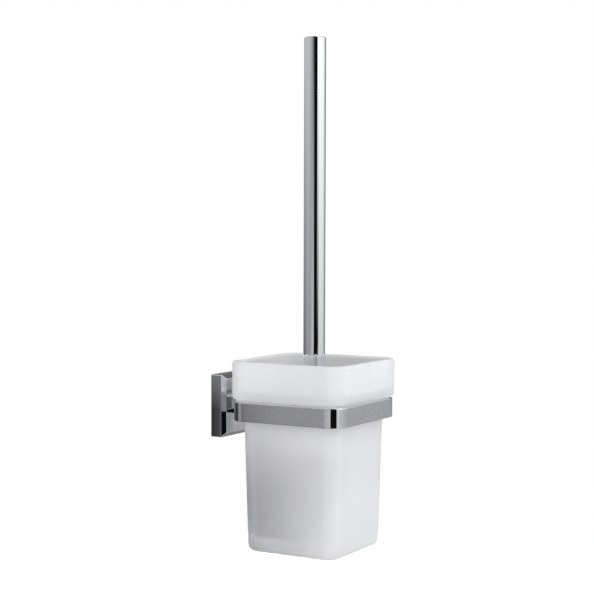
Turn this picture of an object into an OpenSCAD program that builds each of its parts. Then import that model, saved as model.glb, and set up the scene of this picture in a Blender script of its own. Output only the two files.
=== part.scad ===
// Wall-mounted toilet brush holder: a frosted glass tumbler hangs by its collar in a square
// chrome ring, and the brush stands in the tumbler on its head.
// Frame: the wall is the plane Y = 0, the holder stands out towards -Y, +Z is up.
// The origin is the middle of the wall bracket's back face, at the height of the ring's middle.

/* [Glass tumbler] */
// Width of the collar that hangs over the ring
collar_w = 95; // [94:0.5:98]
// Height of the collar from its shoulder to the rim
collar_h = 28.7; // [24:0.1:40]
// Corner radius of the collar, seen from above
collar_r = 14; // [12:0.5:18]
// Width of the body just under the ring
body_top_w = 81; // [79:0.2:81.6]
// Width of the body at the base
body_base_w = 76; // [74:0.2:80]
// Corner radius of the body, seen from above
body_r = 11; // [10:0.5:14]
// Depth of the body below the collar's shoulder
body_h = 110.8; // [108:0.1:116]
// Thickness of the walls
glass_wall = 5; // [4:0.1:5.2]
// Thickness of the base
glass_base = 10; // [9:0.1:14]

/* [Support ring] */
// Height of the ring
ring_h = 14; // [12:0.5:16]
// Thickness of the ring's wall
ring_wall = 4.5; // [3.5:0.1:4.8]
// Outer corner radius of the ring
ring_r = 12; // [9:0.5:14]
// Thickness of the clear liner's flange between ring and glass
liner_t = 0.8; // [0.5:0.1:1]

/* [Wall rosette and arm] */
// Side of the square rosette
rosette_w = 47; // [46:0.5:52]
// Depth of the rosette from the wall to its front face
rosette_t = 12; // [12:0.5:15]
// Size of the chamfer round the front face
rosette_chamfer = 3; // [1:0.5:4]
// Thickness of the rosette's side walls
rosette_wall = 2.5; // [2:0.1:2.6]
// Thickness of the rosette's front wall
rosette_front = 3; // [2.5:0.1:3]
// Width of the arm
arm_w = 20; // [18:0.5:26]
// Height of the arm
arm_h = 14; // [12:0.5:16]
// Length of the arm from the rosette to the ring
arm_l = 17.5; // [17:0.5:30]
// Distance between the two wall screws, one above the other
screw_pitch = 26; // [22:0.5:28]
// Diameter of the holes for the wall screws
wall_hole_d = 5; // [4:0.1:5.5]

/* [Brush] */
// Diameter of the handle
handle_d = 16; // [15:0.5:18]
// Length of the handle
handle_l = 277; // [220:1:340]
// Diameter over the side bristles
head_d = 62; // [56:0.5:63]
// Diameter of the moulded core
core_d = 24; // [22:0.5:26]
// Number of rows of side bristles
rows = 12; // [8:1:12]

/* [Hidden] */
$fn = 64;

// Slack that lets parts slip together, and the overrun of a cut past a face
slack = 0.05;
cut = 1;

// Wall plate
plate_t = 2;
bracket_w = 36;
tab_w = 30;
tab_reach = 8.5;
rosette_in = rosette_w - 2 * rosette_wall;
bracket_h = rosette_in - 1;

// Arm and its fasteners
arm_back = -rosette_t;
arm_front = arm_back - arm_l;
rosette_floor = -rosette_t + rosette_front;
arm_corner = 1.5;
washer_t = 1.2;
m6_r = 3;
m4_r = 2;
dowel_r = 1.5;
dowel_x = 7;
dowel_l = 8;
arm_screw_l = 11;
ring_screw_x = 5;
ring_screw_l = 10;
csk_r = 4;
csk_h = 2;
grub_y = -5;

// Ring and glass
liner_gap = 0.1;
liner_skirt = 0.7;
glass_gap = 0.2;
ring_in = body_top_w + 2 * (glass_gap + liner_skirt + liner_gap);
ring_w = ring_in + 2 * ring_wall;
axis_y = arm_front - ring_w / 2;
ring_top = ring_h / 2;
shoulder_z = ring_top + liner_t;
rim_z = shoulder_z + collar_h;
base_z = shoulder_z - body_h;
shoulder_r = 4;
shoulder_in_r = 3;
rim_r = 2.2;
foot_r = 5;
floor_r = 5;
corner_steps = 8;

// Brush
floor_z = base_z + glass_base;
washer_h = 2;
head_top = -7;
handle_base = head_top + washer_h;
handle_top = handle_base + handle_l;
handle_r = handle_d / 2;
tube_wall = 1;
cap_h = 2;
cap_edge = 1;
cap_plug_h = 8;
plug_h = 14;
m8_r = 4;
stud_up = 10;
stud_down = 10;
insert_r = 5.5;
insert_h = 11;
neck_r = handle_r - 0.4;
neck_h = 7;
flare_h = 8;
core_r = core_d / 2;
core_end = floor_z + 9;
end_r = core_r - 3;
end_drop = 4;
end_gap = 0.2;
row_t = 1.2;
row_top = head_top - neck_h - flare_h - 7;
row_bottom = core_end + end_drop + 3.5;
root_t = 0.6;

// ---- shared shapes ----

// Rectangle outline with round corners
module rounded_rectangle(w, h, r) {
    square([w, h - 2 * r], center = true);
    square([w - 2 * r, h], center = true);
    for (x = [-1, 1], y = [-1, 1])
        translate([x * (w / 2 - r), y * (h / 2 - r)]) circle(r);
}

// Square outline with round corners
module rounded_square(w, r) {
    rounded_rectangle(w, w, r);
}

// Cylinder along the Y axis that starts at y and runs towards the wall
module bar_y(r, y, l, x = 0, z = 0) {
    translate([x, y, z]) rotate([-90, 0, 0]) cylinder(r = r, h = l);
}

// Hexagon socket of a screw, cut towards the wall from y
module hex_y(across, y, l, x = 0) {
    translate([x, y, 0]) rotate([-90, 0, 0]) cylinder(d = across / cos(30), h = l, $fn = 6);
}

// Upright tube on the tumbler's axis
module tube_z(r_out, r_in, z, h) {
    translate([0, axis_y, z]) difference() {
        cylinder(r = r_out, h = h);
        translate([0, 0, -cut]) cylinder(r = r_in, h = h + 2 * cut);
    }
}

// ---- the glass tumbler as rings of a loft, each [half width, corner radius, height] ----

function body_half(z) =
    body_base_w / 2 + (body_top_w - body_base_w) / 2 * (z - base_z) / (shoulder_z - base_z);

// Rings along a quarter arc of radius r round the section point [half, z], from angle a to b.
// A ring's corner radius shrinks or grows with its distance from the wall line at half + r.
function arc_rings(half, z, r, a, b, corner, steps) =
    [for (i = [0:steps])
        let (t = a + (b - a) * i / steps)
        [half + r * cos(t), corner + r * cos(t), z + r * sin(t)]];

inner_base_half = body_half(floor_z + floor_r) - glass_wall;
inner_top_half = body_half(shoulder_z) - glass_wall;
collar_half = collar_w / 2;
collar_in = collar_half - glass_wall;
shoulder_floor = shoulder_z + glass_wall;
body_in_r = body_r - 3;

glass_rings = concat(
    arc_rings(body_half(base_z + foot_r) - foot_r, base_z + foot_r, foot_r, -90, 0,
              body_r - foot_r, 6),
    [[body_half(shoulder_z), body_r, shoulder_z]],
    arc_rings(collar_half - shoulder_r, shoulder_z + shoulder_r, shoulder_r, -90, 0,
              collar_r - shoulder_r, 6),
    arc_rings(collar_half - rim_r, rim_z - rim_r, rim_r, 0, 90, collar_r - rim_r, 5),
    arc_rings(collar_in + rim_r, rim_z - rim_r, rim_r, 90, 180, collar_r - glass_wall + rim_r, 5),
    arc_rings(collar_in - shoulder_in_r, shoulder_floor + shoulder_in_r, shoulder_in_r, 0, -90,
              collar_r - glass_wall - shoulder_in_r, 5),
    arc_rings(inner_top_half + shoulder_in_r, shoulder_floor - shoulder_in_r, shoulder_in_r,
              90, 180, body_in_r + shoulder_in_r, 5),
    arc_rings(inner_base_half - floor_r, floor_z + floor_r, floor_r, 0, -90,
              body_in_r - floor_r, 6));

// Points of one ring, anticlockwise from above, corner by corner
function ring_points(ring) =
    [for (q = [0:3], i = [0:corner_steps])
        let (a = 90 * q + 90 * i / corner_steps,
             sx = (q == 0 || q == 3) ? 1 : -1,
             sy = q < 2 ? 1 : -1,
             c = ring[0] - ring[1])
        [sx * c + ring[1] * cos(a), axis_y + sy * c + ring[1] * sin(a), ring[2]]];

ring_n = 4 * (corner_steps + 1);

module lofted_glass() {
    last = len(glass_rings) - 1;
    skin = [for (k = [0:last - 1], i = [0:ring_n - 1])
        let (j = (i + 1) % ring_n, a = k * ring_n, b = a + ring_n)
        each [[a + i, b + i, b + j], [a + i, b + j, a + j]]];
    underside = [for (i = [0:ring_n - 1]) i];
    floor_face = [for (i = [ring_n - 1:-1:0]) last * ring_n + i];
    polyhedron(points = [for (ring = glass_rings) each ring_points(ring)],
               faces = concat([underside, floor_face], skin));
}

// ---- wall mount ----

// Bent steel plate on the wall, with a tab along its top and bottom edge for the rosette
module wall_bracket() {
    color("silver") difference() {
        union() {
            translate([-bracket_w / 2, -plate_t, -bracket_h / 2]) cube([bracket_w, plate_t, bracket_h]);
            for (side = [0, 1]) mirror([0, 0, side])
                translate([-tab_w / 2, -tab_reach, bracket_h / 2 - plate_t])
                    cube([tab_w, tab_reach, plate_t]);
        }
        for (side = [-1, 1])
            bar_y(wall_hole_d / 2, -plate_t - cut, plate_t + 2 * cut, 0, side * screw_pitch / 2);
    }
}

// Hollow square cover with a chamfer round its front face
module rosette() {
    half = rosette_w / 2;
    outline = [[-half, 0], [-half, -rosette_t + rosette_chamfer],
               [-half + rosette_chamfer, -rosette_t], [half - rosette_chamfer, -rosette_t],
               [half, -rosette_t + rosette_chamfer], [half, 0]];
    color("gainsboro") difference() {
        intersection() {
            translate([0, 0, -half]) linear_extrude(rosette_w) polygon(outline);
            rotate([0, 90, 0]) translate([0, 0, -half]) linear_extrude(rosette_w) polygon(outline);
        }
        translate([-rosette_in / 2, rosette_floor, -rosette_in / 2])
            cube([rosette_in, cut - rosette_floor, rosette_in]);
        bar_y(m6_r + 0.3, -rosette_t - cut, rosette_front + 2 * cut);
        for (side = [-1, 1])
            bar_y(dowel_r + slack, -rosette_t - cut, rosette_front + 2 * cut, side * dowel_x);
        translate([0, grub_y, -half - cut]) cylinder(r = m4_r + slack, h = rosette_wall + 2 * cut);
    }
}

// Socket set screw in the rosette's lower wall, its tip against the bracket's lower tab
module grub_screw() {
    tip = -bracket_h / 2;
    head = -rosette_w / 2 + 0.3;
    color("silver") translate([0, grub_y, head]) difference() {
        cylinder(r = m4_r, h = tip - head);
        translate([0, 0, -cut]) cylinder(d = 2 / cos(30), h = cut + 1.8, $fn = 6);
    }
}

// Solid block between rosette and ring
module arm() {
    color("gainsboro") difference() {
        translate([0, arm_back, 0]) rotate([90, 0, 0])
            linear_extrude(arm_l) rounded_rectangle(arm_w, arm_h, arm_corner);
        bar_y(m6_r + slack, arm_back - 9, 9 + cut);
        for (side = [-1, 1]) {
            bar_y(dowel_r + slack, arm_back - dowel_l + rosette_front - 0.5,
                  dowel_l - rosette_front + 0.5 + cut, side * dowel_x);
            bar_y(m4_r + slack, arm_front - cut, 7 + cut, side * ring_screw_x);
        }
    }
}

// Cheese-head screw that pulls the arm against the rosette from inside
module arm_screw() {
    head_y = rosette_floor + washer_t;
    color("silver") difference() {
        union() {
            bar_y(5, head_y, 3.2);
            bar_y(m6_r, head_y - arm_screw_l, arm_screw_l);
        }
        hex_y(4, head_y + 1.2, 2 + cut);
    }
}

// Split spring washer under the arm screw's head
module arm_washer() {
    color("silver") difference() {
        bar_y(5.6, rosette_floor, washer_t);
        bar_y(m6_r + 0.2, rosette_floor - cut, washer_t + 2 * cut);
        translate([0, rosette_floor - cut, -0.4]) cube([7, washer_t + 2 * cut, 0.8]);
    }
}

// Two pins that stop the arm from turning on the rosette
module arm_dowels() {
    color("silver") for (side = [-1, 1])
        bar_y(dowel_r, rosette_floor - dowel_l, dowel_l, side * dowel_x);
}

// ---- ring and tumbler ----

// Square ring with round corners, countersunk at the back for its two screws
module support_ring() {
    back_in = arm_front - ring_wall;
    color("gainsboro") difference() {
        translate([0, axis_y, -ring_h / 2]) linear_extrude(ring_h) difference() {
            rounded_square(ring_w, ring_r);
            rounded_square(ring_in, ring_r - ring_wall);
        }
        for (side = [-1, 1]) {
            bar_y(m4_r + 0.1, back_in - cut, ring_wall + 2 * cut, side * ring_screw_x);
            translate([side * ring_screw_x, back_in, 0]) rotate([-90, 0, 0])
                cylinder(r1 = csk_r + 0.1, r2 = m4_r + 0.1, h = csk_h);
        }
    }
}

// Two countersunk screws from inside the ring into the arm
module ring_screws() {
    back_in = arm_front - ring_wall;
    color("silver") for (side = [-1, 1]) difference() {
        union() {
            translate([side * ring_screw_x, back_in, 0]) rotate([-90, 0, 0])
                cylinder(r1 = csk_r, r2 = m4_r, h = csk_h);
            bar_y(m4_r, back_in, ring_screw_l, side * ring_screw_x);
        }
        hex_y(2.5, back_in - cut, 1.8 + cut, side * ring_screw_x);
    }
}

// Clear gasket: a flange on top of the ring and a skirt down its inner face
module glass_liner() {
    skirt_w = ring_in - 2 * liner_gap;
    skirt_r = ring_r - ring_wall - liner_gap;
    open_w = skirt_w - 2 * liner_skirt;
    color("whitesmoke") translate([0, axis_y, 0]) difference() {
        union() {
            translate([0, 0, ring_top]) linear_extrude(liner_t)
                rounded_square(collar_w - 2 * shoulder_r, ring_r - 2.5);
            translate([0, 0, 2 - ring_top]) linear_extrude(ring_h - 2) rounded_square(skirt_w, skirt_r);
        }
        translate([0, 0, -ring_h]) linear_extrude(2 * ring_h)
            rounded_square(open_w, skirt_r - liner_skirt);
    }
}

// Frosted tumbler with a wide collar, a tapered body and a thick base
module glass_tumbler() {
    color("aliceblue", 0.7) lofted_glass();
}

// ---- brush ----

// Thin-walled handle tube
module handle_tube() {
    color("gainsboro") tube_z(handle_r, handle_r - tube_wall, handle_base, handle_l - cap_h);
}

// Top end of the handle: a disc with a rounded edge on a plug inside the tube
module handle_cap() {
    color("gainsboro") translate([0, axis_y, handle_top - cap_h]) union() {
        rotate_extrude() {
            square([handle_r - cap_edge, cap_h]);
            square([handle_r, cap_h - cap_edge]);
            translate([handle_r - cap_edge, cap_h - cap_edge])
                intersection() {
                    circle(cap_edge);
                    square(cap_edge);
                }
        }
        translate([0, 0, -cap_plug_h]) cylinder(r = handle_r - tube_wall - slack, h = cap_plug_h);
    }
}

// Threaded bush in the lower end of the tube
module handle_plug() {
    color("goldenrod") tube_z(handle_r - tube_wall - slack, m8_r + slack, handle_base, plug_h);
}

// Stud that screws the handle to the brush head
module handle_stud() {
    color("silver") translate([0, axis_y, head_top - stud_down])
        cylinder(r = m8_r, h = stud_down + washer_h + stud_up);
}

// Rubber washer between the handle and the head
module sealing_washer() {
    color("dimgray") tube_z(neck_r, m8_r + 0.2, head_top, washer_h);
}

// Moulded core of the brush head, with a seat for the threaded insert in its neck
module head_core() {
    seat = insert_h + 1;
    color("white") translate([0, axis_y, 0]) difference() {
        rotate_extrude() polygon([
            [0, head_top], [neck_r, head_top], [neck_r, head_top - neck_h],
            [core_r, head_top - neck_h - flare_h], [core_r, core_end + end_drop],
            [end_r, core_end], [0, core_end]]);
        translate([0, 0, head_top - seat]) cylinder(r = insert_r, h = seat + cut);
        translate([0, 0, head_top - seat - 2]) cylinder(r = m8_r + 0.5, h = seat);
    }
}

// Brass insert with the thread for the stud
module head_insert() {
    color("goldenrod") tube_z(insert_r - 0.02, m8_r + slack, head_top - insert_h - 1, insert_h);
}

// Rows of side bristles that grow out of a thin root sleeve; the lowest rows are shorter
module side_bristles() {
    head_r = head_d / 2;
    pitch = (row_top - row_bottom) / (rows - 1);
    drop = head_r * 0.6;
    color("whitesmoke") translate([0, axis_y, 0]) difference() {
        union() {
            translate([0, 0, row_bottom]) cylinder(r = core_r + root_t, h = row_top - row_bottom);
            for (i = [0:rows - 1]) {
                z = row_bottom + i * pitch;
                below = max(0, row_bottom + drop - z);
                reach = head_r - drop + sqrt(drop * drop - below * below * 0.9);
                translate([0, 0, z]) cylinder(r = reach, h = row_t);
            }
        }
        translate([0, 0, row_bottom - cut])
            cylinder(r = core_r + slack, h = row_top - row_bottom + row_t + 2 * cut);
    }
}

// Bristles under the core: a root disc with rings of tufts down to the tumbler's floor
module end_bristles() {
    tip = floor_z + end_gap;
    color("whitesmoke") translate([0, axis_y, 0]) {
        translate([0, 0, core_end - 1]) cylinder(r = end_r, h = 1);
        for (r = [end_r, end_r - 3, end_r - 6])
            translate([0, 0, tip]) difference() {
                cylinder(r = r, h = core_end - tip);
                translate([0, 0, -cut]) cylinder(r = r - 1, h = core_end - tip);
            }
    }
}

wall_bracket();
rosette();
grub_screw();
arm();
arm_screw();
arm_washer();
arm_dowels();
support_ring();
ring_screws();
glass_liner();
glass_tumbler();
handle_tube();
handle_cap();
handle_plug();
handle_stud();
sealing_washer();
head_core();
head_insert();
side_bristles();
end_bristles();
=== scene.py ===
import math
import random

import bmesh
import bpy
from mathutils import Matrix, Vector


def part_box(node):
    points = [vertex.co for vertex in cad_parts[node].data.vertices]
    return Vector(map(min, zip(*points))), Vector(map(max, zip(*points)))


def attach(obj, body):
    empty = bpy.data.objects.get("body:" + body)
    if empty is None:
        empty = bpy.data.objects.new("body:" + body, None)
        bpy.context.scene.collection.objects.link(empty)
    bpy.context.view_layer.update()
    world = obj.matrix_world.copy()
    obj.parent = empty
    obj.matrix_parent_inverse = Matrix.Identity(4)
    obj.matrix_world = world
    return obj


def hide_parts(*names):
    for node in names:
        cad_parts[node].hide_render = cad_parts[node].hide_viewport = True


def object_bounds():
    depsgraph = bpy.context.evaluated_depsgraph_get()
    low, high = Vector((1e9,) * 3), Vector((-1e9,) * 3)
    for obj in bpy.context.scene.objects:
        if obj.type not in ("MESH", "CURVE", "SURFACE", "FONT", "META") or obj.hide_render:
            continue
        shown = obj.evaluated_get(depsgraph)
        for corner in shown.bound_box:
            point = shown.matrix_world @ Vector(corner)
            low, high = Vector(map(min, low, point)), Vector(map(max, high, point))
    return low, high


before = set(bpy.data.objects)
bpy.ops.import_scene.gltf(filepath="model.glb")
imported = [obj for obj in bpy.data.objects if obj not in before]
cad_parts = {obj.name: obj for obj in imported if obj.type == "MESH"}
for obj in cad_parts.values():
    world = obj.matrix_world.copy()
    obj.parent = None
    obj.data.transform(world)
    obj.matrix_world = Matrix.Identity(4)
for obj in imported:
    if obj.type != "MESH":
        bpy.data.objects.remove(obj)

cad_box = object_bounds()
MM = 0.001
TURN = 2 * math.pi

# ---- places and sizes, read from the frame ----

glass_lo, glass_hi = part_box("glass_tumbler")
ring_lo, ring_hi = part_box("support_ring")
rosette_lo, rosette_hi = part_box("rosette")
arm_lo, arm_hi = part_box("arm")
tube_lo, tube_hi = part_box("handle_tube")
cap_lo, cap_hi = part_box("handle_cap")
core_lo, core_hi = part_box("head_core")
rows_lo, rows_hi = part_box("side_bristles")
ends_lo, ends_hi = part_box("end_bristles")

AXIS_Y = (glass_lo.y + glass_hi.y) / 2
HANDLE_R = (tube_hi.x - tube_lo.x) / 2
RING_WALL = 4.5 * MM
FLOOR_DROP = 0.2

# Radii of the drilled holes, and how far from the middle the paired ones lie
M6_CLEAR_R, M6_TAP_R = 3.3 * MM, 3.05 * MM
M4_CLEAR_R, M4_TAP_R, M4_HEAD_R = 2.1 * MM, 2.05 * MM, 4.6 * MM
DOWEL_R, DOWEL_HOLE_R, DOWEL_X = 1.5 * MM, 1.55 * MM, 7 * MM
RING_SCREW_X = 5 * MM
TUBE_WALL, M8_BORE_R = MM, 4.05 * MM


# ---- mesh building ----

def new_piece(name, points, faces, material, sharp_deg=32):
    """A mesh object with outward normals, smooth faces and sharp edges over sharp_deg."""
    mesh = bpy.data.meshes.new(name)
    mesh.from_pydata([tuple(p) for p in points], [], faces)
    bm = bmesh.new()
    bm.from_mesh(mesh)
    bmesh.ops.recalc_face_normals(bm, faces=bm.faces)
    finish_shading(bm, sharp_deg)
    bm.to_mesh(mesh)
    bm.free()
    piece = bpy.data.objects.new(name, mesh)
    piece.data.materials.append(material)
    bpy.context.scene.collection.objects.link(piece)
    return piece


def finish_shading(bm, sharp_deg):
    """Smooth faces, with the edges that turn more than sharp_deg left sharp."""
    for face in bm.faces:
        face.smooth = True
    for edge in bm.edges:
        edge.smooth = edge.calc_face_angle(0) < math.radians(sharp_deg)


def loft(name, rings, material, closed=False, sharp_deg=32, place=None):
    """Skins rings of equal point counts. An open loft gets two flat end caps, its last faces."""
    n = len(rings[0])
    points = [Vector(p) for ring in rings for p in ring]
    if place is not None:
        points = [place @ p for p in points]
    spans = len(rings) if closed else len(rings) - 1
    faces = []
    for k in range(spans):
        a, b = k * n, (k + 1) % len(rings) * n
        faces += [(a + i, a + (i + 1) % n, b + (i + 1) % n, b + i) for i in range(n)]
    if not closed:
        faces.append(tuple(range(n)))
        faces.append(tuple((len(rings) - 1) * n + i for i in range(n)))
    return new_piece(name, points, faces, material, sharp_deg)


def circle(r, z, n=96):
    """A ring of n points at height z."""
    return [(r * math.cos(TURN * i / n), r * math.sin(TURN * i / n), z) for i in range(n)]


def hexagon(across, z, n=96):
    """A hexagon of n points, at the same angles as circle()'s."""
    ring = []
    for i in range(n):
        angle = TURN * i / n
        r = across / 2 / math.cos((angle + TURN / 12) % (TURN / 6) - TURN / 12)
        ring.append((r * math.cos(angle), r * math.sin(angle), z))
    return ring


def rounded_rectangle(half_x, half_y, r, z, steps=14, ease=0.5 * MM):
    """A rectangle with round corners; a point just outside each arc keeps the flats flat."""
    ring = []
    for quarter, (sx, sy) in enumerate([(1, 1), (-1, 1), (-1, -1), (1, -1)]):
        cx, cy = sx * (half_x - r), sy * (half_y - r)
        start, end = TURN * quarter / 4, TURN * (quarter + 1) / 4
        ring.append((cx + r * math.cos(start) + ease * math.sin(start),
                     cy + r * math.sin(start) - ease * math.cos(start), z))
        for i in range(steps + 1):
            angle = start + (end - start) * i / steps
            ring.append((cx + r * math.cos(angle), cy + r * math.sin(angle), z))
        ring.append((cx + r * math.cos(end) - ease * math.sin(end),
                     cy + r * math.sin(end) + ease * math.cos(end), z))
    return ring


def soft_corners(corners, r, steps=4):
    """The closed outline through corners with each one rounded, and a point outside each arc."""
    outline = []
    count = len(corners)
    for i, corner in enumerate(corners):
        here = Vector(corner)
        back = (Vector(corners[i - 1]) - here).normalized()
        ahead = (Vector(corners[(i + 1) % count]) - here).normalized()
        bend = back.angle(ahead)
        reach = r / math.tan(bend / 2)
        centre = here + (back + ahead).normalized() * (r / math.sin(bend / 2))
        first, last = here + back * reach - centre, here + ahead * reach - centre
        outline.append(tuple(here + back * (reach * 1.5)))
        for s in range(steps + 1):
            outline.append(tuple(centre + first.slerp(last, s / steps, first) * r))
        outline.append(tuple(here + ahead * (reach * 1.5)))
    return outline


def lathe(name, profile, material, place, closed=False, n=96, sharp_deg=32):
    """Turns a profile of (radius, height) pairs."""
    return loft(name, [circle(r, z, n) for r, z in profile], material, closed, sharp_deg, place)


def square_sweep(name, section, half, corner, material, place):
    """Sweeps a closed section of (depth in from the outer face, height) round a square."""
    rings = [rounded_rectangle(half - d, half - d, corner - d, z) for d, z in section]
    return loft(name, rings, material, closed=True, place=place)


def drilled(piece, drills):
    """Cuts (start, direction, radius, end radius) holes out of a piece."""
    for k, (start, run, r_start, r_end) in enumerate(drills):
        turn = Vector((0, 0, 1)).rotation_difference(Vector(run)).to_matrix().to_4x4()
        place = Matrix.Translation(Vector(start)) @ turn
        drill = loft(f"drill_{k}", [circle(r_start, 0, 48), circle(r_end, Vector(run).length, 48)],
                     piece.data.materials[0], place=place)
        cut = piece.modifiers.new("cut", "BOOLEAN")
        cut.object = drill
        cut.solver = "EXACT"
        cut.operation = "DIFFERENCE"
        bpy.context.view_layer.update()
        seen = piece.evaluated_get(bpy.context.evaluated_depsgraph_get())
        mesh = bpy.data.meshes.new_from_object(seen)
        piece.modifiers.clear()
        piece.data = mesh
        bpy.data.objects.remove(drill)
    bm = bmesh.new()
    bm.from_mesh(piece.data)
    finish_shading(bm, 32)
    bm.to_mesh(piece.data)
    bm.free()
    return piece


def stand_for(piece, body, slot, *nodes):
    """Rides a piece on a body in place of the CAD nodes that it stands for."""
    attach(piece, body)
    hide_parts(*nodes)
    return piece


def towards_wall(y, x=0.0, z=0.0):
    """Places a piece made along +Z so that it points at the wall."""
    return Matrix.Translation((x, y, z)) @ Matrix.Rotation(-math.pi / 2, 4, "X")


def away_from_wall(y, x=0.0, z=0.0):
    """Places a piece made along +Z so that it points into the room."""
    return Matrix.Translation((x, y, z)) @ Matrix.Rotation(math.pi / 2, 4, "X")


ON_AXIS = Matrix.Translation((0, AXIS_Y, 0))


# ---- materials ----

def math_node(tree, operation, *values):
    """A Math node whose inputs are numbers or sockets."""
    node = tree.nodes.new("ShaderNodeMath")
    node.operation = operation
    for socket, value in zip(node.inputs, values):
        if isinstance(value, (int, float)):
            socket.default_value = value
        else:
            tree.links.new(value, socket)
    return node.outputs["Value"]


def material(name, colour, roughness, **settings):
    """A node material with a Principled shader whose sockets hold the constant values."""
    mat = bpy.data.materials.new(name)
    mat.use_nodes = True
    shader = mat.node_tree.nodes["Principled BSDF"]
    shader.inputs["Base Color"].default_value = (*colour, 1)
    shader.inputs["Roughness"].default_value = roughness
    for socket, value in settings.items():
        shader.inputs[socket.replace("_", " ")].default_value = value
    return mat


def coordinates(mat, stretch=(1, 1, 1)):
    """The piece's own coordinates in metres, scaled along each axis."""
    tree = mat.node_tree
    where = tree.nodes.new("ShaderNodeTexCoord")
    mapping = tree.nodes.new("ShaderNodeMapping")
    mapping.inputs["Scale"].default_value = stretch
    tree.links.new(where.outputs["Object"], mapping.inputs["Vector"])
    return mapping.outputs["Vector"]


def noise(mat, scale, detail=2.0, stretch=(1, 1, 1)):
    """Noise with features of about 1 / scale metres."""
    node = mat.node_tree.nodes.new("ShaderNodeTexNoise")
    node.inputs["Scale"].default_value = scale
    node.inputs["Detail"].default_value = detail
    mat.node_tree.links.new(coordinates(mat, stretch), node.inputs["Vector"])
    return node.outputs["Fac"]


def spread(mat, value, low, high, start=0.3, end=0.7):
    """Maps value from start..end to low..high, which are numbers or sockets."""
    node = mat.node_tree.nodes.new("ShaderNodeMapRange")
    for field, limit in (("From Min", start), ("From Max", end), ("To Min", low), ("To Max", high)):
        if isinstance(limit, (int, float)):
            node.inputs[field].default_value = limit
        else:
            mat.node_tree.links.new(limit, node.inputs[field])
    mat.node_tree.links.new(value, node.inputs["Value"])
    return node.outputs["Result"]


def feed(mat, socket, value):
    """Links a value to one of the shader's inputs."""
    mat.node_tree.links.new(value, mat.node_tree.nodes["Principled BSDF"].inputs[socket])


def feed_colours(mat, value, low, high, start=0.3, end=0.7):
    """Colours the shader from low to high as value goes from start to end."""
    ramp = mat.node_tree.nodes.new("ShaderNodeValToRGB")
    ramp.color_ramp.elements[0].position = start
    ramp.color_ramp.elements[0].color = (*low, 1)
    ramp.color_ramp.elements[1].position = end
    ramp.color_ramp.elements[1].color = (*high, 1)
    mat.node_tree.links.new(value, ramp.inputs["Fac"])
    feed(mat, "Base Color", ramp.outputs["Color"])


def bump(mat, *layers):
    """Stacks (value, strength, height in metres) layers of bump."""
    tree = mat.node_tree
    below = None
    for value, strength, height in layers:
        node = tree.nodes.new("ShaderNodeBump")
        node.inputs["Strength"].default_value = strength
        node.inputs["Distance"].default_value = height
        tree.links.new(value, node.inputs["Height"])
        if below is not None:
            tree.links.new(below, node.inputs["Normal"])
        below = node.outputs["Normal"]
    feed(mat, "Normal", below)


def chrome(name, stretch, haze, grain):
    """Bright plating: a mirror with faint haze and ripple, and a fine grain of this strength."""
    colour = (0.8, 0.81, 0.83)
    mat = material(name, colour, haze, Metallic=1.0)
    feed(mat, "Roughness", spread(mat, noise(mat, 45, 4, stretch), haze * 0.5, haze * 1.5))
    darker = tuple(c * (1 - grain) for c in colour)
    lighter = tuple(c * (1 + grain) for c in colour)
    feed_colours(mat, noise(mat, 1100, 3), darker, lighter, 0.35, 0.65)
    bump(mat, (noise(mat, 60, 2, stretch), 0.02, 0.05 * MM))
    return mat


def object_xyz(mat):
    """The piece's own X, Y and Z in metres."""
    parts = mat.node_tree.nodes.new("ShaderNodeSeparateXYZ")
    mat.node_tree.links.new(coordinates(mat), parts.inputs["Vector"])
    return parts.outputs


def frosted_glass():
    """Thick glass, acid-frosted outside: milky, and it lets most light through low at the wall."""
    mat = material("frosted_glass", (0.97, 0.975, 0.985), 0.5, IOR=1.45, Transmission_Weight=0.75)
    wall_side, room_side = glass_hi.y - 14 * MM, glass_lo.y + 16 * MM
    # Letting more through low on the wall side shows more of the inside's painted shade there.
    low_down = spread(mat, object_xyz(mat)["Y"], 0.86, 0.6, wall_side, room_side)
    let_through = spread(mat, object_xyz(mat)["Z"], low_down, 0.66, -60 * MM, -8 * MM)
    feed(mat, "Transmission Weight", let_through)
    feed(mat, "Roughness", spread(mat, noise(mat, 90, 3), 0.48, 0.58))
    feed_colours(mat, noise(mat, 25, 3), (0.95, 0.955, 0.965), (0.975, 0.98, 0.99))
    bump(mat, (noise(mat, 1800, 3), 0.12, 0.08 * MM))
    return mat


def shaded_inside_glass():
    """The tumbler's inside, in painted shade: dark grey low on the wall side, lighter upwards and
    into the room, mottled.
    """
    mat = material("frosted_glass_inside_painted_shade", (0.9, 0.9, 0.91), 0.4, IOR=1.45,
                   Transmission_Weight=0.8)
    wall_side, room_side = glass_hi.y - 10 * MM, glass_lo.y + 15 * MM
    outward = spread(mat, object_xyz(mat)["Y"], 0.0, 0.7, wall_side, room_side)
    upward = spread(mat, object_xyz(mat)["Z"], 0.0, 0.5, -60 * MM, 0.0)
    shade_mottle = spread(mat, noise(mat, 32, 3), -0.25, 0.25)
    # Painted shade: the colour runs from dark grey low on the wall side to near white higher up and
    # towards the room, in mottled patches.
    painted_shade_level = math_node(mat.node_tree, "ADD", outward, upward)
    painted_shade_level = math_node(mat.node_tree, "ADD", painted_shade_level, shade_mottle)
    feed_colours(mat, painted_shade_level, (0.36, 0.37, 0.39), (0.98, 0.985, 0.99), 0.0, 1.0)
    feed(mat, "Roughness", spread(mat, noise(mat, 90, 3), 0.35, 0.45))
    bump(mat, (noise(mat, 1800, 3), 0.12, 0.08 * MM))
    return mat


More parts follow.
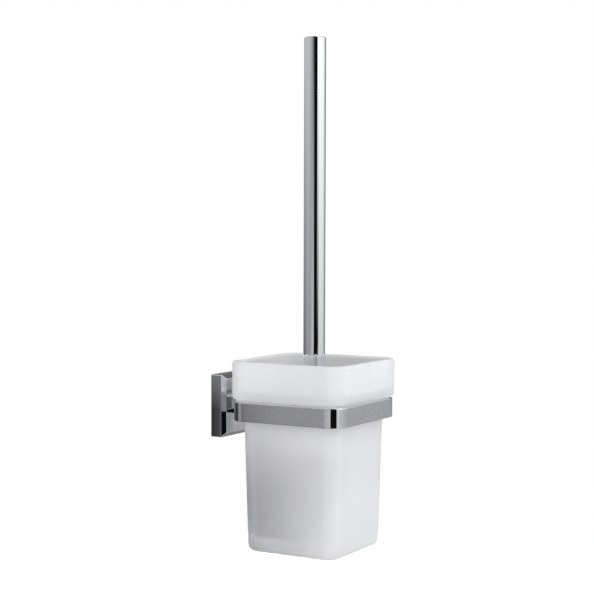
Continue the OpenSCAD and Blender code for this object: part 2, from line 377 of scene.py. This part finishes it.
def clear_liner():
    """Milky, slightly see-through soft plastic."""
    mat = material("clear_liner", (0.95, 0.955, 0.96), 0.4, IOR=1.45, Transmission_Weight=0.35)
    feed(mat, "Roughness", spread(mat, noise(mat, 60, 2), 0.35, 0.5))
    feed_colours(mat, noise(mat, 40, 2), (0.93, 0.935, 0.94), (0.965, 0.97, 0.975))
    bump(mat, (noise(mat, 200, 2), 0.05, 0.03 * MM))
    return mat


def rubber():
    """Black, dull rubber with a fine tooth."""
    mat = material("rubber", (0.03, 0.03, 0.032), 0.7)
    feed(mat, "Roughness", spread(mat, noise(mat, 400, 3), 0.6, 0.8))
    feed_colours(mat, noise(mat, 250, 3), (0.022, 0.022, 0.024), (0.045, 0.045, 0.047))
    bump(mat, (noise(mat, 1500, 3), 0.25, 0.05 * MM))
    return mat


def white_plastic():
    """Moulded plastic, kept darker than real white for this scene's strong soft light."""
    mat = material("white_plastic", (0.6, 0.6, 0.59), 0.35, Subsurface_Weight=0.05)
    feed(mat, "Roughness", spread(mat, noise(mat, 200, 3), 0.28, 0.42))
    feed_colours(mat, noise(mat, 60, 3), (0.57, 0.57, 0.56), (0.62, 0.62, 0.61))
    bump(mat, (noise(mat, 900, 2), 0.12, 0.05 * MM))
    return mat


def bristle_nylon():
    """Off-white nylon in patches of two tones, kept darker than real white as the core is."""
    mat = material("bristle_nylon", (0.78, 0.78, 0.77), 0.45, Subsurface_Weight=0.15)
    feed(mat, "Roughness", spread(mat, noise(mat, 900, 2), 0.35, 0.55))
    feed_colours(mat, noise(mat, 350, 2), (0.7, 0.7, 0.69), (0.84, 0.84, 0.83))
    bump(mat, (noise(mat, 3000, 1, (1, 1, 0.2)), 0.15, 0.03 * MM))
    return mat


def brass():
    """Machined brass with turning marks round the axis."""
    mat = material("brass", (0.78, 0.58, 0.27), 0.28, Metallic=1.0)
    feed(mat, "Roughness", spread(mat, noise(mat, 200, 3, (1, 1, 12)), 0.2, 0.38))
    feed_colours(mat, noise(mat, 120, 3), (0.72, 0.53, 0.24), (0.82, 0.63, 0.31))
    bump(mat, (noise(mat, 300, 2, (0.2, 0.2, 14)), 0.2, 0.03 * MM))
    return mat


def steel(name, colour, stretch, low, high):
    """Plated or plain steel with drawn lines and small cloudy patches."""
    mat = material(name, colour, 0.3, Metallic=1.0)
    feed(mat, "Roughness", spread(mat, noise(mat, 180, 4, stretch), low, high))
    lighter = tuple(min(1.0, c * 1.12) for c in colour)
    darker = tuple(c * 0.86 for c in colour)
    feed_colours(mat, noise(mat, 90, 4), darker, lighter)
    bump(mat, (noise(mat, 700, 2, stretch), 0.15, 0.04 * MM))
    return mat


ROSETTE_CHROME = chrome("rosette_chrome", (1, 1, 1), 0.012, 0.02)
RING_CHROME = chrome("ring_chrome", (1, 1, 1), 0.02, 0.07)
HANDLE_CHROME = chrome("handle_chrome", (1, 1, 0.15), 0.015, 0.02)
GLASS = frosted_glass()
GLASS_INSIDE_SHADED = shaded_inside_glass()
LINER = clear_liner()
RUBBER = rubber()
PLASTIC = white_plastic()
NYLON = bristle_nylon()
BRASS = brass()
BRACKET_STEEL = steel("bracket_steel", (0.58, 0.59, 0.6), (12, 1, 1), 0.25, 0.45)
SCREW_STEEL = steel("screw_steel", (0.6, 0.6, 0.61), (1, 1, 1), 0.18, 0.34)


# ---- screws ----

def thread_ring(r, z, pitch, depth, n=48):
    """One ring of a helical thread: the radius falls by depth between its crests."""
    ring = []
    for i in range(n):
        phase = (z / pitch - i / n) % 1.0
        at = r - depth * abs(2 * phase - 1)
        ring.append((at * math.cos(TURN * i / n), at * math.sin(TURN * i / n), z))
    return ring


def screw(name, place, r, pitch, shank, head, socket=None, n=48):
    """A screw made from its tip (z = 0) up: thread, then head [(radius, height)], then a socket
    (across flats, depth)."""
    depth = 0.55 * pitch
    rings = [circle(r - depth, 0, n), thread_ring(r - depth * 0.4, 0.3 * pitch, pitch, depth * 0.6)]
    steps = round((shank - 0.5 * pitch) / (pitch / 6))
    for k in range(steps + 1):
        z = 0.5 * pitch + (shank - 0.5 * pitch) * k / steps
        rings.append(thread_ring(r, z, pitch, depth))
    rings += [circle(hr, hz, n) for hr, hz in head]
    if socket is not None:
        across, sunk = socket
        top = rings[-1][0][2]
        rings += [hexagon(across + 0.3 * MM, top, n), hexagon(across, top - 0.15 * MM, n),
                  hexagon(across, top - sunk, n), circle(across * 0.2, top - sunk - 0.3 * MM, n)]
    return loft(name, rings, SCREW_STEEL, place=place, sharp_deg=28)


# ---- wall mount ----

def dressed_bracket():
    """The bent plate keeps its CAD shape, with its edges broken."""
    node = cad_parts["wall_bracket"]
    node.data.materials.clear()
    node.data.materials.append(BRACKET_STEEL)
    weld = node.modifiers.new("weld", "WELD")
    weld.merge_threshold = 0.001 * MM
    flat = node.modifiers.new("flat", "DECIMATE")
    flat.decimate_type = "DISSOLVE"
    flat.angle_limit = math.radians(1)
    edge = node.modifiers.new("edge", "BEVEL")
    edge.width = 0.3 * MM
    edge.segments = 3
    edge.limit_method = "ANGLE"
    edge.angle_limit = math.radians(40)


def build_rosette():
    """The hollow square cover, chamfered in front and drilled for the arm and the set screw."""
    half = (rosette_hi.x - rosette_lo.x) / 2
    depth = rosette_hi.y - rosette_lo.y
    wall, front, chamfer = 2.5 * MM, 3 * MM, 3 * MM
    inner = half - wall
    edge, arc_steps = 0.35 * MM, 4
    closed_section = [(0, 0), (0, depth - chamfer), (chamfer, depth), (half * 0.6, depth),
                      (half * 0.6, 0)]
    # Only the rounded corners at the wall, the chamfer and the front face's edge are used.
    outer_corners, points_each = 3, arc_steps + 3
    arcs = soft_corners(closed_section, edge, arc_steps)[:outer_corners * points_each]
    rings = [rounded_rectangle(inner, inner, 0.5 * MM, z, 4, 0.2 * MM)
             for z in (depth - front, 0.3 * MM)]
    rings.append(rounded_rectangle(inner + 0.2 * MM, inner + 0.2 * MM, 0.6 * MM, 0, 4, 0.2 * MM))
    rings += [rounded_rectangle(half - d, half - d, 0.6 * MM, z, 4, 0.2 * MM) for d, z in arcs]
    piece = loft("rosette_cover", rings, ROSETTE_CHROME, place=away_from_wall(rosette_hi.y))
    through = (0, front + 2 * MM, 0)
    before = rosette_lo.y - MM
    grub_y = -5 * MM
    drills = [((0, before, 0), through, M6_CLEAR_R, M6_CLEAR_R)]
    drills += [((x, before, 0), through, DOWEL_HOLE_R, DOWEL_HOLE_R) for x in (-DOWEL_X, DOWEL_X)]
    drills.append(((0, grub_y, -half - MM), (0, 0, wall + 2 * MM), M4_TAP_R, M4_TAP_R))
    return stand_for(drilled(piece, drills), "wall_mount", "chrome", "rosette")


def build_arm():
    """The block, tapped for the M6 screw and the ring's screws and drilled for the dowels."""
    half_x = (arm_hi.x - arm_lo.x) / 2
    half_z = (arm_hi.z - arm_lo.z) / 2
    length = arm_hi.y - arm_lo.y
    rings = [rounded_rectangle(half_x, half_z, 1.2 * MM, z, 8, 0.3 * MM) for z in (0, length)]
    piece = loft("arm_block", rings, ROSETTE_CHROME, place=away_from_wall(arm_hi.y))
    back, front = arm_hi.y + MM, arm_lo.y - MM
    drills = [((0, back, 0), (0, -10 * MM, 0), M6_TAP_R, M6_TAP_R)]
    for side in (-1, 1):
        drills.append(((side * DOWEL_X, back, 0), (0, -6.5 * MM, 0), DOWEL_HOLE_R, DOWEL_HOLE_R))
        drills.append(((side * RING_SCREW_X, front, 0), (0, 8 * MM, 0), M4_TAP_R, M4_TAP_R))
    return stand_for(drilled(piece, drills), "wall_mount", "chrome", "arm")


def build_ring():
    """The square ring, with two countersunk holes in its wall side."""
    half = (ring_hi.x - ring_lo.x) / 2
    high = ring_hi.z - ring_lo.z
    corner, edge = 12 * MM, 0.45 * MM
    section = soft_corners([(0, 0), (RING_WALL, 0), (RING_WALL, high), (0, high)], edge)
    piece = square_sweep("support_ring_chrome", section, half, corner, RING_CHROME,
                         Matrix.Translation((0, AXIS_Y, ring_lo.z)))
    inside = ring_hi.y - RING_WALL
    drills = []
    for x in (-RING_SCREW_X, RING_SCREW_X):
        drills.append(((x, inside - MM, 0), (0, RING_WALL + 2 * MM, 0), M4_CLEAR_R, M4_CLEAR_R))
        drills.append(((x, inside - 0.5 * MM, 0), (0, 2.5 * MM, 0), M4_HEAD_R, M4_CLEAR_R))
    return stand_for(drilled(piece, drills), "wall_mount", "chrome", "support_ring")


def build_arm_screw():
    """An M6 cap screw with a hexagon socket."""
    screw_lo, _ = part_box("arm_screw")
    shank, head_r, head_top = 11 * MM, 5 * MM, 14.2 * MM
    head = [(3 * MM, shank), (head_r - 0.3 * MM, shank), (head_r, shank + 0.3 * MM),
            (head_r, head_top - 0.4 * MM), (head_r - 0.4 * MM, head_top)]
    piece = screw("arm_screw_steel", towards_wall(screw_lo.y), 3 * MM, 1 * MM, shank, head,
                  (4 * MM, 2 * MM))
    stand_for(piece, "wall_mount", "screw_steel", "arm_screw")


def build_ring_screws():
    """Two countersunk M4 screws, put in from inside the ring."""
    _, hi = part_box("ring_screws")
    head = [(2 * MM, 8 * MM), (3.9 * MM, 9.85 * MM), (3.8 * MM, 10 * MM)]
    for label, x in (("left", -RING_SCREW_X), ("right", RING_SCREW_X)):
        piece = screw(f"ring_screw_{label}", away_from_wall(hi.y, x), 2 * MM, 0.7 * MM, 8 * MM,
                      head, (2.5 * MM, 1.6 * MM))
        stand_for(piece, "wall_mount", "screw_steel", "ring_screws")


def build_grub_screw():
    """An M4 set screw, driven up from under the rosette."""
    lo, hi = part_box("grub_screw")
    length = hi.z - lo.z
    upside_down = (Matrix.Translation((0, (lo.y + hi.y) / 2, hi.z))
                   @ Matrix.Rotation(math.pi, 4, "X"))
    grub = screw("grub_screw_steel", upside_down, 2 * MM, 0.7 * MM, length - 0.3 * MM,
                 [(1.7 * MM, length)], (2 * MM, 1.6 * MM))
    stand_for(grub, "wall_mount", "screw_steel", "grub_screw")


def build_dowels():
    """Two pins with chamfered ends."""
    lo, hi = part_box("arm_dowels")
    length, chamfer = hi.y - lo.y, 0.3 * MM
    profile = [(DOWEL_R - chamfer, 0), (DOWEL_R, chamfer), (DOWEL_R, length - chamfer),
               (DOWEL_R - chamfer, length)]
    for label, x in (("left", -DOWEL_X), ("right", DOWEL_X)):
        pin = lathe(f"arm_dowel_{label}", profile, SCREW_STEEL, towards_wall(lo.y, x), n=32)
        stand_for(pin, "wall_mount", "screw_steel", "arm_dowels")


def build_spring_washer():
    """A flat washer with a gap cut through it; gap is half of the angle in radians."""
    lo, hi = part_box("arm_washer")
    thick = hi.y - lo.y
    outer, inner, edge, gap = (hi.x - lo.x) / 2, 3.2 * MM, 0.12 * MM, 0.075
    section = [(inner, edge), (inner + edge, 0), (outer - edge, 0), (outer, edge),
               (outer, thick - edge), (outer - edge, thick), (inner + edge, thick),
               (inner, thick - edge)]
    rings, steps = [], 60
    for k in range(steps + 1):
        angle = gap + (TURN - 2 * gap) * k / steps
        rings.append([(r * math.cos(angle), r * math.sin(angle), h) for r, h in section])
    washer = loft("arm_washer_steel", rings, SCREW_STEEL, place=towards_wall(lo.y), sharp_deg=60)
    stand_for(washer, "wall_mount", "screw_steel", "arm_washer")


def build_liner():
    """The gasket: a flange on the ring and a thin skirt inside it."""
    lo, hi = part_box("glass_liner")
    flange_half = (hi.x - lo.x) / 2
    skirt_half = (ring_hi.x - ring_lo.x) / 2 - RING_WALL - 0.1 * MM
    inside = skirt_half - 0.7 * MM
    top, seat = hi.z, ring_hi.z
    corners = [(flange_half, seat), (flange_half, top), (inside, top), (inside, lo.z),
               (skirt_half, lo.z), (skirt_half, seat)]
    rings = []
    for half, z in corners:
        corner = 9.5 * MM if half == flange_half else 7.4 * MM - (skirt_half - half)
        rings.append(rounded_rectangle(half, half, corner, z))
    piece = loft("liner_clear", rings, LINER, closed=True, place=ON_AXIS)
    return stand_for(piece, "wall_mount", "clear_liner", "glass_liner")


# ---- tumbler ----

def arc(half, z, r, start, end, corner, steps):
    """Rings along a quarter arc: (half width, corner radius, height)."""
    rings = []
    for i in range(steps + 1):
        t = math.radians(start + (end - start) * i / steps)
        rings.append((half + r * math.cos(t), corner + r * math.cos(t), z + r * math.sin(t)))
    return rings


def build_tumbler():
    """One closed skin: foot, tapered body, shoulder and collar outside, then the cavity."""
    base, rim = glass_lo.z, glass_hi.z
    collar = (glass_hi.x - glass_lo.x) / 2
    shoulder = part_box("glass_liner")[1].z
    body_top, body_base = 40.5 * MM, 38 * MM
    wall, thick_base = 5 * MM, 10 * MM
    collar_r, body_r, body_in_r = 14 * MM, 11 * MM, 8 * MM
    shoulder_r, inner_r, lip, foot, floor_r = 4 * MM, 3 * MM, 2.2 * MM, 5 * MM, 5 * MM

    def body_half(z):
        return body_base + (body_top - body_base) * (z - base) / (shoulder - base)

    floor = base + thick_base
    in_base = body_half(floor + floor_r) - wall
    in_top = body_half(shoulder) - wall
    profile = arc(body_half(base + foot) - foot, base + foot, foot, -90, 0, body_r - foot, 12)
    profile.append((body_half(base + foot + MM), body_r, base + foot + MM))
    profile.append((body_half(shoulder - MM), body_r, shoulder - MM))
    profile.append((body_half(shoulder), body_r, shoulder))
    profile += arc(collar - shoulder_r, shoulder + shoulder_r, shoulder_r, -90, 0,
                   collar_r - shoulder_r, 12)
    profile.append((collar, collar_r, shoulder + shoulder_r + MM))
    profile.append((collar, collar_r, rim - lip - MM))
    profile += arc(collar - lip, rim - lip, lip, 0, 90, collar_r - lip, 10)
    profile += arc(collar - wall + lip, rim - lip, lip, 90, 180, collar_r - wall + lip, 10)
    profile.append((collar - wall, collar_r - wall, rim - lip - MM))
    profile += arc(collar - wall - inner_r, shoulder + wall + inner_r, inner_r, 0, -90,
                   collar_r - wall - inner_r, 8)
    shaded_from = len(profile)
    profile += arc(in_top + inner_r, shoulder + wall - inner_r, inner_r, 90, 180,
                   body_in_r + inner_r, 8)
    profile.append((in_base, body_in_r, floor + floor_r + MM))
    profile += arc(in_base - floor_r, floor + floor_r, floor_r, 0, -90, body_in_r - floor_r, 10)
    rings = [rounded_rectangle(half, half, r, z, 18) for half, r, z in profile]
    piece = loft("tumbler_frosted", rings, GLASS, place=ON_AXIS, sharp_deg=50)
    piece.data.materials.append(GLASS_INSIDE_SHADED)
    around = len(rings[0])
    foot_cap = (len(rings) - 1) * around
    # The cavity's faces below the collar get the inside material with its painted shade; the rest
    # keeps the frosted glass.
    for face in piece.data.polygons:
        shaded_face = face.index >= shaded_from * around and face.index != foot_cap
        face.material_index = int(shaded_face)
    return stand_for(piece, "glass", "frosted_glass", "glass_tumbler")


# ---- brush ----

def build_tube():
    """The handle's tube, open at both ends."""
    edge, bore = 0.15 * MM, HANDLE_R - TUBE_WALL
    bottom, joint = tube_lo.z, tube_hi.z
    profile = [(bore, bottom + edge), (bore + edge, bottom), (HANDLE_R - edge, bottom),
               (HANDLE_R, bottom + edge), (HANDLE_R, joint), (bore, joint)]
    tube = lathe("handle_tube_chrome", profile, HANDLE_CHROME, ON_AXIS, closed=True, n=128)
    stand_for(tube, "handle", "handle_chrome", "handle_tube")


def build_cap():
    """The handle's closed end, with a plug that sits in the tube."""
    joint, top, soft = tube_hi.z, cap_hi.z, MM
    plug_r = HANDLE_R - TUBE_WALL - 0.05 * MM
    profile = [(plug_r - 0.3 * MM, cap_lo.z), (plug_r, cap_lo.z + 0.3 * MM), (plug_r, joint),
               (HANDLE_R, joint)]
    profile += [(HANDLE_R - soft + soft * math.cos(t), top - soft + soft * math.sin(t))
                for t in (math.pi / 2 * k / 8 for k in range(9))]
    profile += [(HANDLE_R - 1.6 * MM, top), (MM, top)]
    cap = lathe("handle_cap_chrome", profile, HANDLE_CHROME, ON_AXIS, n=128)
    stand_for(cap, "handle", "handle_chrome", "handle_cap")


def build_bush():
    """The brass bush in the tube's lower end, that the stud screws into."""
    lo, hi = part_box("handle_plug")
    r_out, r_in, edge = (hi.x - lo.x) / 2, M8_BORE_R, 0.3 * MM
    low = lo.z + 0.1 * MM  # just clear of the washer it turns on
    bush = lathe("handle_plug_brass",
                 [(r_in, low + 2 * edge), (r_in + 2 * edge, low), (r_out - edge, low),
                  (r_out, low + edge), (r_out, hi.z - edge), (r_out - edge, hi.z),
                  (r_in + edge, hi.z), (r_in, hi.z - edge)], BRASS, ON_AXIS, closed=True, n=64)
    stand_for(bush, "handle", "brass", "handle_plug")


def build_stud():
    """A length of M8 thread."""
    lo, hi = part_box("handle_stud")
    stud = screw("handle_stud_steel", Matrix.Translation((0, AXIS_Y, lo.z)), 4 * MM, 1.25 * MM,
                 hi.z - lo.z - 0.4 * MM, [(3.4 * MM, hi.z - lo.z)])
    stand_for(stud, "handle", "screw_steel", "handle_stud")


def build_seal():
    """The rubber washer, with rounded edges."""
    lo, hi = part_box("sealing_washer")
    r_out, r_in, edge = (hi.x - lo.x) / 2, 4.2 * MM, 0.35 * MM
    high = hi.z - lo.z
    section = soft_corners([(r_in, 0), (r_out, 0), (r_out, high), (r_in, high)], edge)
    seal = lathe("sealing_washer_rubber", section, RUBBER, Matrix.Translation((0, AXIS_Y, lo.z)),
                 closed=True)
    stand_for(seal, "washer", "rubber", "sealing_washer")


def build_core():
    """The brush head's core: a ribbed neck over a flare, hollow at the top for the insert."""
    top, bottom = core_hi.z, core_lo.z
    r = (core_hi.x - core_lo.x) / 2
    neck, neck_h, flare_h, drop = 7.6 * MM, 7 * MM, 8 * MM, 4 * MM
    seat_r, seat_z, bore_r, bore_z = 5.5 * MM, top - 12 * MM, 4.5 * MM, top - 14 * MM
    profile = [(bore_r * 0.3, bore_z), (bore_r, bore_z), (bore_r, seat_z), (seat_r, seat_z),
               (seat_r, top - 0.3 * MM), (seat_r + 0.3 * MM, top), (neck - 0.5 * MM, top),
               (neck, top - 0.5 * MM)]
    # Two moulded grip rings round the neck
    for z in (top - 3 * MM, top - 5 * MM):
        profile += [(neck, z + 0.6 * MM), (neck - 0.5 * MM, z + 0.3 * MM),
                    (neck - 0.5 * MM, z - 0.3 * MM), (neck, z - 0.6 * MM)]
    start_z, end_z = top - neck_h, top - neck_h - flare_h
    for k in range(13):
        t = k / 12
        ease = t * t * (3 - 2 * t)
        z = start_z + (end_z - start_z) * t
        limit = neck + (r - neck) * t
        profile.append((min(neck + (r - neck) * ease, limit), z))
    profile.append((r, bottom + drop + MM))
    for k in range(9):
        t = math.pi / 2 * k / 8
        profile.append((r - drop * 0.75 * (1 - math.cos(t)), bottom + drop * (1 - math.sin(t))))
    profile.append((MM, bottom))
    core = lathe("head_core_plastic", profile, PLASTIC, ON_AXIS, n=96, sharp_deg=40)
    stand_for(core, "brush_head", "white_plastic", "head_core")


def build_insert():
    """The brass insert in the core's neck, with a groove round its middle."""
    lo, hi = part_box("head_insert")
    r_out, r_in, edge = (hi.x - lo.x) / 2, M8_BORE_R, 0.3 * MM
    profile = [(r_in, lo.z + edge), (r_in + edge, lo.z), (r_out - edge, lo.z), (r_out, lo.z + edge)]
    profile += [(r_out, lo.z + 4 * MM), (r_out - 0.5 * MM, lo.z + 4.4 * MM),
                (r_out - 0.5 * MM, hi.z - 4.4 * MM), (r_out, hi.z - 4 * MM)]
    profile += [(r_out, hi.z - edge), (r_out - edge, hi.z), (r_in + 2 * edge, hi.z),
                (r_in, hi.z - 2 * edge)]
    insert = lathe("head_insert_brass", profile, BRASS, ON_AXIS, closed=True, n=64)
    stand_for(insert, "brush_head", "brass", "head_insert")


BRISTLE_R, HOLE_R, BRISTLE_BEND = 0.19 * MM, 0.8 * MM, 0.6 * MM
SIDE_HAIRS, END_HAIRS = 34, 26
SIDE_SPLAY, END_SPLAY = 0.2, 0.1
ROW_INSET, TIP_INSET = 2.4 * MM, 0.8 * MM


def bristle(points, faces, root, tip, r, bend):
    """Adds one tapered, slightly bent bristle with three sides."""
    run = tip - root
    side = run.orthogonal().normalized()
    other = run.cross(side).normalized()
    first = len(points)
    for t, width in ((0, 1.0), (0.5, 0.95), (1.0, 0.6)):
        centre = root + run * t + bend * (t * t)
        for k in range(3):
            angle = TURN * k / 3
            points.append(centre + (side * math.cos(angle) + other * math.sin(angle)) * r * width)
    for level in (0, 3):
        for k in range(3):
            a, b = first + level + k, first + level + (k + 1) % 3
            faces.append((a, b, b + 3, a + 3))
    faces.append((first + 2, first + 1, first))
    faces.append((first + 6, first + 7, first + 8))


def tuft(rng, points, faces, root, out, length, hairs, splay):
    """A bundle of bristles that leave one hole and spread a little."""
    for _ in range(hairs):
        jitter = Vector([rng.uniform(-1, 1) for _ in range(3)])
        start = root + (jitter - out * jitter.dot(out)) * HOLE_R
        way = (out + (jitter - out * jitter.dot(out)) * splay).normalized()
        tip = start + way * (length * rng.uniform(0.96, 1.0))
        bend = Vector([rng.uniform(-1, 1) for _ in range(3)]) * BRISTLE_BEND
        bristle(points, faces, start, tip, BRISTLE_R, bend)


def build_side_bristles(rng):
    """Staggered rows of tufts round the core, shorter towards the lower end."""
    core_r = (core_hi.x - core_lo.x) / 2
    reach = (rows_hi.x - rows_lo.x) / 2 - TIP_INSET
    rows, around, drop = 13, 20, 18 * MM
    points, faces = [], []
    low, high = rows_lo.z + ROW_INSET, rows_hi.z - ROW_INSET
    for row in range(rows):
        z = low + (high - low) * row / (rows - 1)
        below = max(0.0, low + drop - z)
        out_r = reach - drop + math.sqrt(drop * drop - below * below * 0.9)
        for k in range(around):
            angle = TURN * (k + 0.5 * (row % 2)) / around
            out = Vector((math.cos(angle), math.sin(angle), 0))
            root = Vector((0, AXIS_Y, z)) + out * (core_r - 0.5 * MM)
            tuft(rng, points, faces, root, out, out_r - core_r, SIDE_HAIRS, SIDE_SPLAY)
    side = new_piece("side_bristles_nylon", points, faces, NYLON)
    stand_for(side, "brush_head", "bristles", "side_bristles")


def build_end_bristles(rng):
    """Rings of tufts on the core's lower end; each ring is (tufts, radius, lean)."""
    points, faces = [], []
    for count, spread_r, lean in ((1, 0, 0), (6, 3.2 * MM, 0.16), (11, 6.8 * MM, 0.42)):
        for k in range(count):
            angle = TURN * k / count
            out = Vector((math.cos(angle) * lean, math.sin(angle) * lean, -1)).normalized()
            root = Vector((math.cos(angle) * spread_r, AXIS_Y + math.sin(angle) * spread_r,
                           ends_hi.z + 0.5 * MM))
            length = (root.z - ends_lo.z - 0.9 * MM) / -out.z
            tuft(rng, points, faces, root, out, length, END_HAIRS, END_SPLAY)
    ends = new_piece("end_bristles_nylon", points, faces, NYLON)
    stand_for(ends, "brush_head", "bristles", "end_bristles")


# ---- studio ----

# What glossy rays see, as (azimuth in degrees from +X, grey level), at three elevations
STUDIO = {
    7.0: [(0, 0.15), (30, 0.15), (60, 0.4), (81, 0.6), (131, 0.6), (147, 0.62), (156, 0.53),
          (167, 0.48), (178, 0.35), (190, 0.25), (200, 0.035), (206, 0.004), (234.5, 0.004),
          (238.7, 1.25), (300, 1.25), (308, 1.15), (322, 0.85), (336, 0.75), (350, 0.15)],
    -4.4: [(0, 0.25), (60, 0.2), (81, 0.22), (101, 0.2), (117, 0.32), (131, 0.38), (150, 0.37),
           (170, 0.33), (176, 0.5), (202, 0.6), (205, 0.004), (248, 0.004), (252, 0.3),
           (257, 0.78), (300, 0.78), (308, 0.75), (322, 0.6), (345, 0.25)],
    -7.1: [(0, 0.25), (60, 0.2), (100, 0.02), (112, 0.05), (120, 0.3), (144.5, 0.3),
           (145, 0.012), (146.9, 0.012), (147.6, 0.2), (147.9, 0.32), (152, 0.33), (158, 0.45),
           (190, 0.55), (196, 0.5), (199, 0.004), (238.5, 0.004), (241, 0.6), (250, 0.72),
           (262, 0.6), (300, 0.5), (330, 0.43), (345, 0.36)],
}
# What other rays see, as (azimuth, level), brightest at the front, and how that changes with
# height, as (0 straight down to 1 straight up, factor)
SOFT_LIGHT = [(0, 1.1), (15, 0.8), (35, 0.5), (110, 0.55), (140, 1.1), (185, 1.75), (225, 1.85),
              (270, 1.75), (320, 1.6), (345, 1.35)]
SOFT_HEIGHTS = [(0.0, 0.75), (0.4, 0.9), (0.6, 1.05), (1.0, 1.25)]


def grey_ramp(tree, factor, stops, full):
    """A ramp of (place, grey) stops, where a place equal to full is the ramp's end."""
    ramp = tree.nodes.new("ShaderNodeValToRGB")
    tree.links.new(factor, ramp.inputs["Fac"])
    elements = ramp.color_ramp.elements
    while len(elements) < len(stops):
        elements.new(0.5)
    for element, (at, grey) in zip(elements, stops):
        element.position = at / full
        element.color = (grey, grey, grey, 1)
    return ramp.outputs["Color"]


def mixed(tree, factor, first, second):
    """Mixes two colours, each a tuple or a socket."""
    node = tree.nodes.new("ShaderNodeMix")
    node.data_type = "RGBA"
    tree.links.new(factor, node.inputs["Factor"])
    for socket, colour in ((node.inputs["A"], first), (node.inputs["B"], second)):
        if isinstance(colour, tuple):
            socket.default_value = colour
        else:
            tree.links.new(colour, socket)
    return node.outputs["Result"]


def build_studio():
    """Glossy rays see grey and white panels, other rays a soft light, and the camera white."""
    world = bpy.data.worlds.new("studio")
    bpy.context.scene.world = world
    world.use_nodes = True
    tree = world.node_tree
    direction = tree.nodes.new("ShaderNodeTexCoord")
    parts = tree.nodes.new("ShaderNodeSeparateXYZ")
    tree.links.new(direction.outputs["Generated"], parts.inputs["Vector"])
    angle = math_node(tree, "ARCTAN2", parts.outputs["Y"], parts.outputs["X"])
    azimuth = math_node(tree, "FRACT", math_node(tree, "DIVIDE", angle, TURN))
    height = math_node(tree, "ARCSINE", parts.outputs["Z"])
    high, middle, low = STUDIO
    panels = grey_ramp(tree, azimuth, STUDIO[low], 360)
    for below, above in ((low, middle), (middle, high)):
        rise = tree.nodes.new("ShaderNodeMapRange")
        rise.inputs["From Min"].default_value = math.radians(below)
        rise.inputs["From Max"].default_value = math.radians(above)
        tree.links.new(height, rise.inputs["Value"])
        panels = mixed(tree, rise.outputs["Result"], panels,
                       grey_ramp(tree, azimuth, STUDIO[above], 360))
    ray = tree.nodes.new("ShaderNodeLightPath")
    shade = tree.nodes.new("ShaderNodeVectorMath")
    shade.operation = "MULTIPLY"
    level = math_node(tree, "MULTIPLY_ADD", parts.outputs["Z"], 0.5, 0.5)
    tree.links.new(grey_ramp(tree, azimuth, SOFT_LIGHT, 360), shade.inputs[0])
    tree.links.new(grey_ramp(tree, level, SOFT_HEIGHTS, 1), shade.inputs[1])
    light = mixed(tree, ray.outputs["Is Glossy Ray"], shade.outputs["Vector"], panels)
    colour = mixed(tree, ray.outputs["Is Camera Ray"], light, (1, 1, 1, 1))
    tree.links.new(colour, tree.nodes["Background"].inputs["Color"])


def build_floor():
    """A pale disc well below the object, hidden from reflections and from rays through glass."""
    radius, thick = 1.0, 0.01
    mat = material("floor_pale", (0.93, 0.93, 0.93), 0.8, Emission_Strength=0.1)
    mat.node_tree.nodes["Principled BSDF"].inputs["Emission Color"].default_value = (1, 1, 1, 1)
    feed_colours(mat, noise(mat, 3, 2), (0.92, 0.92, 0.92), (0.94, 0.94, 0.94))
    z = cad_box[0].z - FLOOR_DROP
    floor = loft("floor", [circle(radius, z - thick), circle(radius, z)], mat, place=ON_AXIS)
    floor.visible_glossy = False
    floor.visible_transmission = False


CAMERA_PLACE = (-0.9225, -0.5985, 0.1315)
HEADING_DEG, DOWN_DEG, ROLL_DEG = -59.76, 2.65, 0.15
LENS, SENSOR = 87.5, 36


def build_camera():
    """The photograph's view: from the left front, a little above the rim, with a long lens."""
    data = bpy.data.cameras.new("camera")
    data.sensor_width = SENSOR
    data.lens = LENS
    camera = bpy.data.objects.new("camera", data)
    bpy.context.scene.collection.objects.link(camera)
    heading, down, roll = (math.radians(angle) for angle in (HEADING_DEG, DOWN_DEG, ROLL_DEG))
    camera.rotation_mode = "QUATERNION"
    turn = (Matrix.Rotation(heading, 4, "Z") @ Matrix.Rotation(math.pi / 2 - down, 4, "X")
            @ Matrix.Rotation(roll, 4, "Z"))
    camera.matrix_world = Matrix.Translation(CAMERA_PLACE) @ turn
    bpy.context.scene.camera = camera


dressed_bracket()
build_rosette()
build_arm()
build_ring()
build_arm_screw()
build_ring_screws()
build_grub_screw()
build_dowels()
build_spring_washer()
build_liner()
build_tumbler()
build_tube()
build_cap()
build_bush()
build_stud()
build_seal()
build_core()
build_insert()
bristle_draws = random.Random(11)
build_side_bristles(bristle_draws)
build_end_bristles(bristle_draws)
build_studio()
build_floor()
build_camera()
bpy.context.scene.view_settings.view_transform = "Standard"
